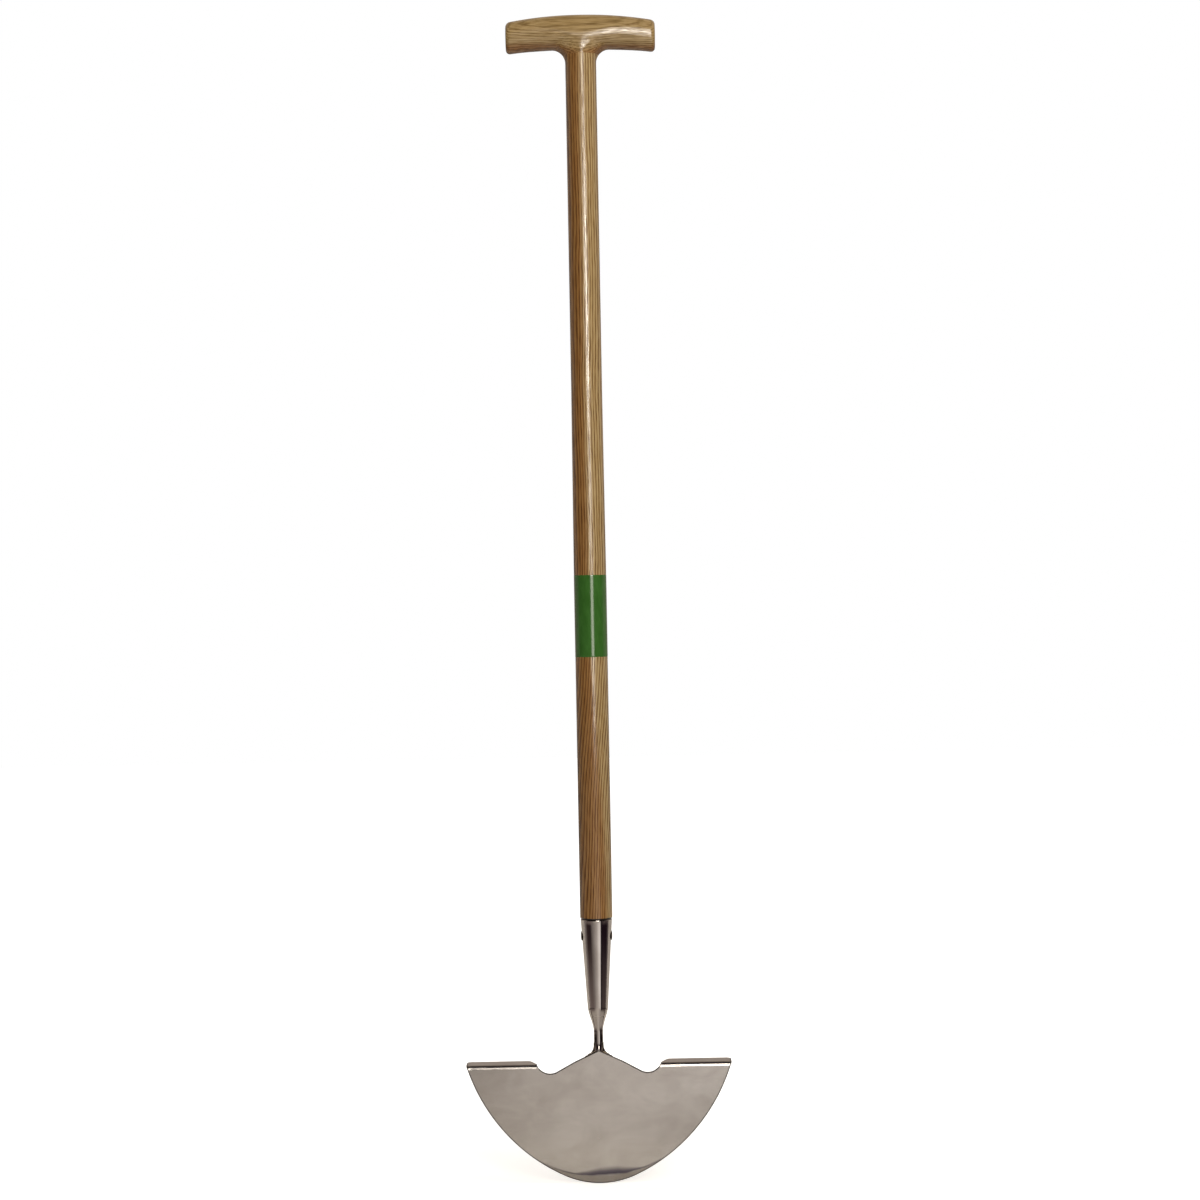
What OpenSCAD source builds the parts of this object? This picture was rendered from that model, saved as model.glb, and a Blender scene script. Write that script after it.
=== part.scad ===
// Half moon edger: a lawn edging tool with an ash T grip and shaft and a stainless head.
// Lengths are in millimetres. The cutting tip is at the origin, +Z runs up the shaft's axis,
// X runs across the blade, and the treads fold back towards +Y.

/* [Overall] */
// height from the cutting tip to the top of the grip
total_height = 1030.4; // [850:0.1:1250]

/* [Blade] */
// width over the outer ends of the two treads
blade_width = 234.2; // [200:0.1:280]
// height from the cutting tip to the top of the treads
tread_height = 105.5; // [90:0.1:125]
// radius of the rounded nose of the cutting edge
nose_radius = 75; // [60:1:85]
// angle over which the nose runs before the flatter flanks begin
nose_angle = 25; // [18:1:30]
// thickness of the sheet
sheet_thickness = 2; // [1.6:0.1:2.6]
// height of the pointed shoulder above the treads
apex_rise = 12.5; // [10:0.5:18]
// depth of the relief notch below the treads
notch_depth = 8.2; // [7:0.1:9.5]
// radius of the relief notch
notch_radius = 12.5; // [11:0.5:15]
// distance of each relief notch from the middle
notch_offset = 43; // [38:0.5:46]

/* [Treads] */
// depth of a tread from the blade's front face to its back edge
tread_depth = 20; // [16:0.5:28]
// inside radius of the fold
fold_radius = 2; // [1.5:0.1:3]
// radius of a tread's inner back corner
tread_inner_corner = 5; // [3:0.5:7]
// radius of a tread's outer back corner
tread_outer_corner = 4.5; // [2:0.5:8]

/* [Ground edge] */
// height of the ground bevel at the tip
bevel_height = 7; // [4:0.5:9]
// radius of the bevel's upper line
bevel_radius = 117; // [105:1:125]
// thickness left at the cutting edge
edge_land = 0.6; // [0.4:0.1:1]

/* [Neck] */
// diameter of the round bar
neck_diameter = 8.3; // [7:0.1:10]
// length of the bar from the blade's shoulder to its swelled top
neck_length = 18; // [14:0.5:40]
// length of the swelling between bar and socket
swell_length = 21.5; // [16:0.5:30]
// radius of the flare where the bar spreads into its foot
flare_radius = 11; // [9:0.5:13]
// half width of the foot at its widest
foot_half_width = 10.9; // [10:0.1:13]
// length of the foot down the back of the blade
foot_length = 46; // [38:1:52]
// thickness of the foot
foot_thickness = 4; // [3.2:0.1:5]
// depth of the bar's plug inside the socket
plug_depth = 11; // [8:0.5:14]

/* [Welds] */
// radius of the beads along the foot
bead_radius = 1.6; // [1:0.1:2.2]
// radius of the short beads beside the bar
toe_bead_radius = 1.3; // [0.8:0.1:1.6]

/* [Socket] */
// length of the socket's straight cone
socket_length = 75.5; // [60:0.5:110]
// half angle of the cone
socket_angle = 3.58; // [2.5:0.01:3.8]
// wall thickness
socket_wall = 1.35; // [1:0.05:1.8]
// step from the shaft's surface in to the socket's rim
rim_step = 0.65; // [0.3:0.05:1.2]

/* [Rivet] */
// diameter of the rivet's shank
rivet_diameter = 4.5; // [3.5:0.1:5.5]
// diameter of its formed heads
rivet_head = 8.6; // [7.6:0.1:10]
// height of a head above the socket
rivet_rise = 0.9; // [0.6:0.1:1.6]
// distance of the rivet below the socket's rim
rivet_drop = 15; // [10:0.5:24]

/* [Shaft] */
// diameter of the lower shaft
shaft_low_diameter = 28.5; // [26:0.1:34]
// diameter of the upper shaft
shaft_top_diameter = 27.3; // [25:0.1:29]
// height where the taper between the two begins
taper_start = 545; // [540:1:600]
// length of that taper
taper_length = 155; // [100:1:200]
// radius of the rounded lower edge of the shaft
shoulder_round = 0.8; // [0.4:0.1:1.5]

/* [Grip] */
// length of the cross grip
grip_length = 131.6; // [110:0.1:170]
// diameter of the cross grip
grip_diameter = 30; // [29.5:0.1:36]
// radius of the grip's arch along its axis
arch_radius = 348; // [260:1:600]
// radius of the carved fillets between grip and stem
fillet_radius = 12; // [8:0.5:14]
// depth of the joint between grip and shaft below the grip's axis
joint_drop = 20.8; // [19.5:0.1:23]
// radius of the rounded ends
grip_end_round = 4; // [2:0.5:6]

/* [Grip joint] */
// diameter of the shaft's tenon
tenon_diameter = 18; // [14:0.5:20]
// length of the tenon
tenon_length = 25; // [20:0.5:26]
// diameter of the pin across the tenon
pin_diameter = 4; // [3:0.1:6]
// length of that pin
pin_length = 22; // [16:0.5:24]
// height of the pin above the joint
pin_height = 17; // [12:0.5:18]

/* [Label band] */
// height of the band's lower edge
band_start = 464; // [300:1:464]
// length of the band
band_length = 72; // [30:1:75]
// thickness of the film
band_thickness = 0.2; // [0.15:0.01:0.4]

/* [Fits] */
// radial clearance of the wooden joints
wood_clearance = 0.05; // [0.02:0.01:0.2]
// gap between the shaft's shoulder and the socket's rim
shoulder_gap = 0.3; // [0.1:0.05:0.6]
// setback of the blade's front face behind the front of the bar
face_setback = 0.15; // [0.05:0.05:0.5]

/* [Hidden] */
$fn = 96;
over = 1;

// Depths: the sheet lies against the back half of the notched bar.
neck_r = neck_diameter / 2;
blade_front = face_setback - neck_r;
blade_back = blade_front + sheet_thickness;
fold_outer = fold_radius + sheet_thickness;
fold_z = tread_height - fold_outer;
tread_back = blade_front + tread_depth;

// Cutting edge: the flank is the arc that leaves the nose smoothly and ends at the tread's corner.
nose_end = nose_radius * [sin(nose_angle), 1 - cos(nose_angle)];
flank_normal = [-sin(nose_angle), cos(nose_angle)];
flank_chord = [blade_width / 2, tread_height] - nose_end;
flank_radius = (flank_chord * flank_chord) / (2 * (flank_chord * flank_normal));
flank_centre = nose_end + flank_radius * flank_normal;
flank_end = 90 + asin((tread_height + over - flank_centre.y) / flank_radius);

// Shoulder of the blade: a shallow gable between the two relief notches.
apex_z = tread_height + apex_rise;
notch_z = tread_height - notch_depth;
notch_centre = [notch_offset, notch_z + notch_radius];
gable_bend = [notch_offset / 2, notch_z + 0.53 * (apex_z - notch_z)];
gable_slope = atan((apex_z - gable_bend.y) / gable_bend.x);
gable_reach = notch_centre - gable_bend;
gable_foot = asin(notch_radius / norm(gable_reach)) - atan2(gable_reach.y, gable_reach.x);

// Inner ends of the treads: each goes on over the fold at the slant at which the notch meets it.
tread_slant = asin(1 - notch_depth / notch_radius);
tread_inner = notch_offset + notch_radius * cos(tread_slant);

// Heights up the neck, the socket and the shaft.
swell_start = apex_z + neck_length;
swell_end = swell_start + swell_length;
weld_z = swell_start + swell_length * 0.535;
rim_z = swell_end + socket_length;
shaft_low_r = shaft_low_diameter / 2;
shaft_top_r = shaft_top_diameter / 2;
cone_slope = tan(socket_angle);
rim_r = shaft_low_r - rim_step;
swell_r = rim_r - socket_length * cone_slope;
plug_r = neck_r + 1.05;
throat_z = swell_end + 4;
shoulder_z = rim_z + shoulder_gap;
spigot_end = throat_z + 2;
rivet_z = rim_z - rivet_drop;

// Heights and radii of the grip.
grip_r = grip_diameter / 2;
axis_z = total_height - grip_r;
joint_z = axis_z - joint_drop;
pin_z = joint_z + pin_height;
mortise_depth = tenon_length + 0.5;

// Foot of the neck: a spearhead with one arc on each side.
foot_top = apex_z - 5.5;
foot_tip = foot_top - foot_length;
foot_arc = (pow(foot_half_width, 2) + pow(foot_length, 2)) / (2 * foot_half_width);
foot_sweep = asin(foot_length / foot_arc);
foot_centre = [foot_half_width - foot_arc, foot_top];
flare_top = apex_z + 6;

wood = [0.55, 0.40, 0.23];
steel = [0.64, 0.61, 0.58];
polished = [0.72, 0.71, 0.70];
green = [0.16, 0.33, 0.12];

// points of an arc about a centre
function arc(centre, r, from, to, steps) =
    [for (i = [0:steps]) let (a = from + (to - from) * i / steps) centre + r * [cos(a), sin(a)]];

// points of the arc that rounds the corner c between the lines to p and q
function rounded(p, c, q, r, steps = 8) =
    let (
        u = (p - c) / norm(p - c),
        v = (q - c) / norm(q - c),
        half = acos(u * v) / 2,
        centre = c + (u + v) / norm(u + v) * r / sin(half),
        from = c + u * r / tan(half) - centre,
        to = c + v * r / tan(half) - centre,
        a = atan2(from.y, from.x),
        turn = (atan2(to.y, to.x) - a + 540) % 360 - 180
    )
    arc(centre, r, a, a + turn, steps);

// the same points on the other side of the middle line, in reverse
function mirrored(points) = [for (i = [len(points) - 1:-1:0]) [-points[i].x, points[i].y]];

// radius of the socket's outer cone at a height
function cone_r(z) = rim_r - (rim_z - z) * cone_slope;

// radius of the swelling: level at the bar, and in line with the cone at the socket
function swell(z) =
    let (t = (z - swell_start) / swell_length)
    neck_r + (swell_r - neck_r) * t * t * (3 - 2 * t) + cone_slope * swell_length * t * t * (t - 1);

// height of the grip's arched axis
function arch_z(x) = axis_z - arch_radius + sqrt(pow(arch_radius, 2) - x * x);

// turns everything drawn in the plane to the front view, between two depths
module front_prism(from, to) {
    translate([0, to, 0])
        rotate([90, 0, 0])
            linear_extrude(to - from) children();
}

// right half of the blade's outline, from the tip round to the top of the gable
function blade_half() = concat(
    arc([0, nose_radius], nose_radius, -90, nose_angle - 90, 10),
    arc(flank_centre, flank_radius, nose_angle - 90 + 2, flank_end - 90, 18),
    arc(notch_centre, notch_radius, -asin(1 - (notch_depth + over) / notch_radius), -90 - gable_foot, 16),
    rounded(gable_bend + [cos(gable_foot), -sin(gable_foot)], gable_bend, [0, apex_z], 70, 4),
    [[0, apex_z]]
);

module blade_outline() {
    half = blade_half();
    polygon(concat(half, mirrored([for (i = [1:len(half) - 2]) half[i]])));
}

// section of the folded sheet, drawn as depth and height
module tread_section() {
    bend = [blade_front + fold_outer, fold_z];
    polygon(concat(
        [[blade_back, -over], [blade_front, -over]],
        arc(bend, fold_outer, 180, 90, 10),
        [[tread_back, tread_height], [tread_back, tread_height - sheet_thickness]],
        arc(bend, fold_radius, 90, 180, 10)
    ));
}

// plan of one side of the sheet, with the rounded back corners of its tread
module tread_plan(inner, outer) {
    behind = blade_front + fold_outer;
    corner = [tread_inner + (tread_back - behind) * tan(tread_slant), tread_back];
    polygon(concat(
        [[inner, blade_front - over], [outer + over, blade_front - over]],
        rounded([outer, blade_front], [outer, tread_back], corner, tread_outer_corner),
        rounded([outer, tread_back], corner, [tread_inner, behind], tread_inner_corner),
        [[tread_inner, behind], [inner, behind]]
    ));
}

// one side of the sheet, from inside its notch to the tread's outer end
module folded_side() {
    inner = notch_offset + 2;
    outer = blade_width / 2;
    intersection() {
        translate([inner, 0, 0])
            rotate([90, 0, 90])
                linear_extrude(outer + over - inner) tread_section();
        translate([0, 0, -2 * over])
            linear_extrude(tread_height + 4 * over) tread_plan(inner, outer);
    }
}

// what grinding takes off the front of the nose: all that lies outside a shallow cone
module ground_bevel() {
    taper = bevel_height / (sheet_thickness - edge_land);
    reach = bevel_radius * 0.55;
    difference() {
        translate([-reach, blade_front - over, -over])
            cube([2 * reach, over + sheet_thickness - edge_land, bevel_height + 14 + over]);
        translate([0, blade_front - over, bevel_radius + bevel_height])
            rotate([-90, 0, 0])
                cylinder(r1 = bevel_radius - taper * over, r2 = bevel_radius + taper * sheet_thickness,
                         h = sheet_thickness + over, $fn = 240);
    }
}

module blade() {
    color(steel)
    difference() {
        intersection() {
            front_prism(blade_front - over, tread_back + over) blade_outline();
            union() {
                middle = notch_offset + 3;
                translate([-middle, blade_front, -over])
                    cube([2 * middle, sheet_thickness, apex_z + 2 * over]);
                folded_side();
                mirror([1, 0, 0]) folded_side();
            }
        }
        ground_bevel();
    }
}

// outline of the foot: it flares out of the bar, then runs down to a point
module foot_outline() {
    half = concat(
        [[neck_r, flare_top]],
        arc([neck_r + flare_radius, flare_top], flare_radius, 186, 243, 8),
        arc(foot_centre, foot_arc, 0, -foot_sweep, 12)
    );
    polygon(concat(half, mirrored([for (i = [0:len(half) - 2]) half[i]])));
}

// the round bar with its swelled top, its plug, and a ridge that dies away on the foot
module neck_bar() {
    steps = 12;
    ridge_end = foot_tip + 0.35 * foot_length;
    ridge_r = blade_back + foot_thickness - 0.3;
    rotate_extrude()
        polygon(concat(
            [[0, ridge_end], [ridge_r, ridge_end], [neck_r, apex_z]],
            [for (i = [0:steps]) let (z = swell_start + (weld_z - swell_start) * i / steps) [swell(z), z]],
            [[plug_r - wood_clearance, weld_z], [plug_r - wood_clearance, weld_z + plug_depth],
             [0, weld_z + plug_depth]]
        ));
}

module neck() {
    color(polished)
    difference() {
        union() {
            neck_bar();
            front_prism(blade_back, blade_back + foot_thickness) foot_outline();
        }
        front_prism(-neck_r - over, blade_back) blade_outline();
    }
}

module quarter_round(r) {
    intersection() {
        circle(r);
        square(r + over);
    }
}

// bead along one side of the foot, on the back of the blade
module back_bead() {
    intersection() {
        translate([foot_centre.x, blade_back, foot_centre.y])
            rotate([-90, 0, 0])
                rotate_extrude(angle = foot_sweep + 4, $fn = 240)
                    translate([foot_arc, 0]) quarter_round(bead_radius);
        translate([0, blade_back - over, foot_tip - 5 * bead_radius])
            cube([foot_half_width + 4 * bead_radius, bead_radius + 2 * over, foot_length + 8 * bead_radius]);
    }
}

// short bead on top of the blade's edge, beside the bar
module front_bead() {
    from = 0.6 * neck_r;
    reach = neck_r + 0.5 * flare_radius - from;
    difference() {
        translate([from, blade_back, apex_z - from * tan(gable_slope)])
            rotate([0, gable_slope, 0])
                rotate([90, 0, 90])
                    linear_extrude(reach / cos(gable_slope))
                        mirror([1, 0, 0]) quarter_round(toe_bead_radius);
        translate([0, 0, apex_z - 3 * neck_r])
            cylinder(r = neck_r, h = 5 * neck_r);
    }
}

module weld_back_left() {
    color(steel) mirror([1, 0, 0]) back_bead();
}

module weld_back_right() {
    color(steel) back_bead();
}

module weld_front_left() {
    color(steel) mirror([1, 0, 0]) front_bead();
}

module weld_front_right() {
    color(steel) front_bead();
}

// a hole or shank along X at the rivet's height
module rivet_cylinder(r, length) {
    translate([-length / 2, 0, rivet_z])
        rotate([0, 90, 0])
            cylinder(r = r, h = length);
}

module socket() {
    steps = 10;
    color(polished)
    difference() {
        rotate_extrude()
            polygon(concat(
                [[plug_r, weld_z]],
                [for (i = [0:steps]) let (z = weld_z + (swell_end - weld_z) * i / steps) [swell(z), z]],
                [[rim_r, rim_z], [rim_r - socket_wall, rim_z], [cone_r(throat_z) - socket_wall, throat_z],
                 [plug_r, swell_end - 1]]
            ));
        rivet_cylinder(rivet_diameter / 2 + wood_clearance, 4 * rim_r);
    }
}

module socket_rivet() {
    seat = cone_r(rivet_z);
    edge = 0.3 * rivet_rise;
    dome_r = (pow(rivet_head / 2, 2) + pow(rivet_rise - edge, 2)) / (2 * (rivet_rise - edge));
    color(polished)
    union() {
        rivet_cylinder(rivet_diameter / 2, 2 * seat);
        difference() {
            for (side = [0, 180])
                rotate([0, 0, side])
                    translate([seat, 0, rivet_z])
                        rotate([0, 90, 0])
                            intersection() {
                                translate([0, 0, -0.5 * seat]) cylinder(d = rivet_head, h = seat);
                                translate([0, 0, rivet_rise - dome_r]) sphere(dome_r);
                            }
            translate([0, 0, rim_z - socket_length])
                cylinder(r1 = swell_r, r2 = rim_r, h = socket_length);
        }
    }
}

// the carved fillet between stem and grip, as a ball rolled round the corner leaves it
module carved_fillet() {
    sides = 64;
    steps = 9;
    dive = 0.15;
    stem = shaft_top_r + fillet_radius;
    grip = grip_r + fillet_radius;
    points = concat(
        [for (i = [0:steps]) for (j = [0:sides - 1])
            let (
                a = 360 * j / sides,
                x = stem * cos(a),
                y = stem * sin(a),
                drop = sqrt(grip * grip - y * y),
                to_stem = [-cos(a), -sin(a), 0],
                to_grip = [0, -y, drop] / grip,
                open = acos(to_stem * to_grip),
                t = open * i / steps,
                way = (sin(open - t) * to_stem + sin(t) * to_grip) / sin(open)
            )
            [x, y, arch_z(x) - drop] + (fillet_radius + dive) * way],
        [[0, 0, joint_z + 1], [0, 0, axis_z]]
    );
    low = len(points) - 2;
    polyhedron(points, concat(
        [for (i = [0:steps - 1]) for (j = [0:sides - 1])
            let (k = (j + 1) % sides)
            [i * sides + j, (i + 1) * sides + j, (i + 1) * sides + k]],
        [for (i = [0:steps - 1]) for (j = [0:sides - 1])
            let (k = (j + 1) % sides)
            [i * sides + j, (i + 1) * sides + k, i * sides + k]],
        [for (j = [0:sides - 1]) [low, j, (j + 1) % sides]],
        [for (j = [0:sides - 1]) [low + 1, steps * sides + (j + 1) % sides, steps * sides + j]]
    ));
}

// everything on one side of the joint between shaft and grip
module joint_space(from, height) {
    translate([-grip_length, -grip_length, from])
        cube([2 * grip_length, 2 * grip_length, height]);
}

// what rounding takes off one end of the grip
module grip_end_cut() {
    end = grip_length / 2;
    ring = grip_r + 0.5 - grip_end_round;
    translate([end - grip_end_round, 0, arch_z(end)])
        rotate([0, 90, 0])
            rotate_extrude()
                difference() {
                    translate([ring, 0]) square([3 * grip_end_round, 3 * grip_end_round]);
                    translate([ring, 0]) circle(grip_end_round);
                }
}

// the arched bar, cut square to the shaft at both ends
module grip_bar() {
    sweep = 2 * asin((grip_length / 2 + grip_r) / arch_radius);
    difference() {
        intersection() {
            translate([0, 0, axis_z - arch_radius])
                rotate([90, 0, 0])
                    rotate([0, 0, 90 - sweep / 2])
                        rotate_extrude(angle = sweep, $fn = 240)
                            translate([arch_radius, 0]) circle(grip_r);
            translate([-grip_length / 2, -grip_diameter, axis_z - 3 * grip_r])
                cube([grip_length, 2 * grip_diameter, 6 * grip_r]);
        }
        grip_end_cut();
        mirror([1, 0, 0]) grip_end_cut();
    }
}

module pin_cylinder(r) {
    translate([0, grip_r - 0.8, pin_z])
        rotate([90, 0, 0])
            cylinder(r = r, h = pin_length);
}

module t_handle() {
    color(wood)
    difference() {
        union() {
            grip_bar();
            translate([0, 0, joint_z])
                cylinder(r = shaft_top_r, h = axis_z - joint_z);
            difference() {
                carved_fillet();
                joint_space(joint_z - grip_length, grip_length);
            }
        }
        translate([0, 0, joint_z - over])
            cylinder(r = tenon_diameter / 2 + wood_clearance, h = mortise_depth + over);
        pin_cylinder(pin_diameter / 2 + wood_clearance);
        translate([0, grip_r - 1, pin_z])
            rotate([-90, 0, 0])
                cylinder(r = pin_diameter / 2 + wood_clearance, h = grip_r);
    }
}

module handle_pin() {
    color(wood) pin_cylinder(pin_diameter / 2);
}

module shaft() {
    bore = cone_r(shoulder_z) - socket_wall - wood_clearance;
    spigot_r = cone_r(spigot_end) - socket_wall - wood_clearance;
    color(wood)
    difference() {
        union() {
            rotate_extrude()
                polygon(concat(
                    [[0, spigot_end], [spigot_r - 1, spigot_end], [spigot_r + cone_slope, spigot_end + 1],
                     [bore, shoulder_z]],
                    arc([shaft_low_r - shoulder_round, shoulder_z + shoulder_round], shoulder_round, -90, 0, 5),
                    [[shaft_low_r, taper_start], [shaft_top_r, taper_start + taper_length],
                     [shaft_top_r, joint_z], [tenon_diameter / 2, joint_z],
                     [tenon_diameter / 2, joint_z + tenon_length], [0, joint_z + tenon_length]]
                ));
            intersection() {
                carved_fillet();
                joint_space(joint_z - grip_length, grip_length);
            }
        }
        rivet_cylinder(rivet_diameter / 2 + wood_clearance, 4 * rim_r);
        pin_cylinder(pin_diameter / 2 + wood_clearance);
    }
}

module label_band() {
    color(green)
    translate([0, 0, band_start])
        difference() {
            cylinder(r = shaft_low_r + band_thickness, h = band_length);
            translate([0, 0, -over]) cylinder(r = shaft_low_r, h = band_length + 2 * over);
        }
}

t_handle();
handle_pin();
shaft();
label_band();
socket();
socket_rivet();
neck();
blade();
weld_back_left();
weld_back_right();
weld_front_left();
weld_front_right();
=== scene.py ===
# %% [markdown]
# # Half moon edger
# A half moon edger cuts the border of a lawn. It has an ash T grip on an ash shaft, a polished
# stainless socket and neck, and a half-round stainless blade whose two folded treads take the foot.
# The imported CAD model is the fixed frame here. Every mesh below is written in millimetres in that
# same frame, from the sizes of the solids, and one function turns it into metres and sets it in place.

# %% Load the frame
from functools import partial
from math import acos, asin, atan2, cos, degrees, pi, radians, sin, sqrt, tan
import bmesh
import bpy
import numpy as np
from mathutils import Euler, Matrix, Vector
from mathutils.geometry import delaunay_2d_cdt


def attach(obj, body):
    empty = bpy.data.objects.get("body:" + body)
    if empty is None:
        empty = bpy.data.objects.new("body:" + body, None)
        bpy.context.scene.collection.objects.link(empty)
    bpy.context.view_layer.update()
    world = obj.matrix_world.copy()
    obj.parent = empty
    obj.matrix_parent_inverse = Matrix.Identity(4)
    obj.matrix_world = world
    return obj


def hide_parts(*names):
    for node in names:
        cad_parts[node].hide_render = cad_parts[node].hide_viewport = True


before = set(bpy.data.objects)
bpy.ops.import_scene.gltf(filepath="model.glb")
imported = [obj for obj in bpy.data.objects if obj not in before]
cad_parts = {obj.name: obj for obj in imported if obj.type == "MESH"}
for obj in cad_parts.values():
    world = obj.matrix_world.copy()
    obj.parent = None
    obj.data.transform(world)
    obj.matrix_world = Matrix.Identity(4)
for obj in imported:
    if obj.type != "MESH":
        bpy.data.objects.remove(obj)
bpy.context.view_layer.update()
print("nodes in the frame:", sorted(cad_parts))

# %% [markdown]
# ## Camera
# The tool is seen from half its height and a little over two metres away, through a short telephoto
# lens. A long distance keeps the shaft's sides parallel. The tool leans one degree to the left in
# the picture, and since its solids stand straight, the camera takes that lean instead.

# %% Camera
scene = bpy.context.scene
scene.view_settings.view_transform = "Standard"
lens = bpy.data.cameras.new("camera")
lens.sensor_width = 36
lens.lens = 75.6
camera = bpy.data.objects.new("camera", lens)
upright = Euler((radians(90), 0, 0)).to_matrix().to_4x4()
camera.matrix_world = (
    Matrix.Translation((0.0084, -2.224, 0.5139)) @ upright @ Matrix.Rotation(radians(-1.05), 4, "Z")
)
scene.collection.objects.link(camera)
scene.camera = camera
print("camera at", [round(v, 3) for v in camera.matrix_world.translation])

# %% [markdown]
# ## Tools for materials
# Colours are written as sRGB hex codes, the way a picture editor shows them, while shaders calculate
# in linear light, so one function translates. A second one adds any node, fills in its settings, and
# links what is handed to it, so that a material reads as a list of its steps. It hands back the
# output that the next step needs. Each material below gets its own copy of it, put.

# %% Colours and nodes
def linear(code):
    """a hex colour as the linear red, green, blue and alpha that shaders use"""
    shares = [int(code[i:i + 2], 16) / 255 for i in (1, 3, 5)]
    return [c / 12.92 if c < 0.0405 else ((c + 0.055) / 1.055) ** 2.4 for c in shares] + [1.0]


def fill(node, inputs):
    """sets a node's inputs: links sockets, turns hex codes into colours and copies plain values"""
    for place, value in inputs.items():
        if isinstance(value, bpy.types.NodeSocket):
            node.id_data.links.new(value, node.inputs[place])
        else:
            node.inputs[place].default_value = linear(value) if isinstance(value, str) else value


def add_node(tree, kind, inputs=None, out=None, stops=(), **settings):
    """adds one node to a tree and returns the output that out names, or else the first one in use;
    stops are the places and tones of a colour ramp, settings the node's own"""
    node = tree.nodes.new(kind if "Node" in kind else "ShaderNode" + kind)
    for name, value in settings.items():
        setattr(node, name, value)
    fill(node, inputs or {})
    if stops:
        ramp = node.color_ramp.elements
        while len(ramp) < len(stops):
            ramp.new(0.5)
        for step, (place, tone) in zip(ramp, stops):
            step.position = place
            step.color = linear(tone) if isinstance(tone, str) else (tone, tone, tone, 1)
    return node.outputs[out] if out else next((o for o in node.outputs if o.enabled), None)


def from_axis(put, place, centre, across):
    """distance from an axis through a centre; across is 1 in the two directions that count"""
    offset = put("VectorMath", {0: place, 1: centre}, operation="SUBTRACT")
    level = put("VectorMath", {0: offset, 1: across}, operation="MULTIPLY")
    return put("VectorMath", {0: level}, operation="LENGTH")


def new_material(name):
    """an empty material, a put that adds nodes to it, its Object coordinates and its shader"""
    material = bpy.data.materials.new(name)
    material.use_nodes = True
    put = partial(add_node, material.node_tree)
    shader = next(n for n in material.node_tree.nodes if n.type == "BSDF_PRINCIPLED")
    return material, put, put("TexCoord", out="Object"), shader


print("the grey #808080 in linear light:", round(linear("#808080")[0], 3))

# %% [markdown]
# ## Varnished ash
# Ash is ring-porous: each year starts with a row of open pores that show as a dark line, and ends in
# dense pale wood. Turned into a round bar, those yearly layers run along it as streaks: fine lines
# where the layers stand on edge, broad calm figure where they lie flat. A picture of wood wrapped round
# the bar would stretch at the ends. This material is a solid instead: it measures how far each point
# lies from the middle of an imagined tree, so streaks, slanting figure and end grain all come from one
# pattern, and the brown heartwood turns into tan sapwood at one of those layers.

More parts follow.
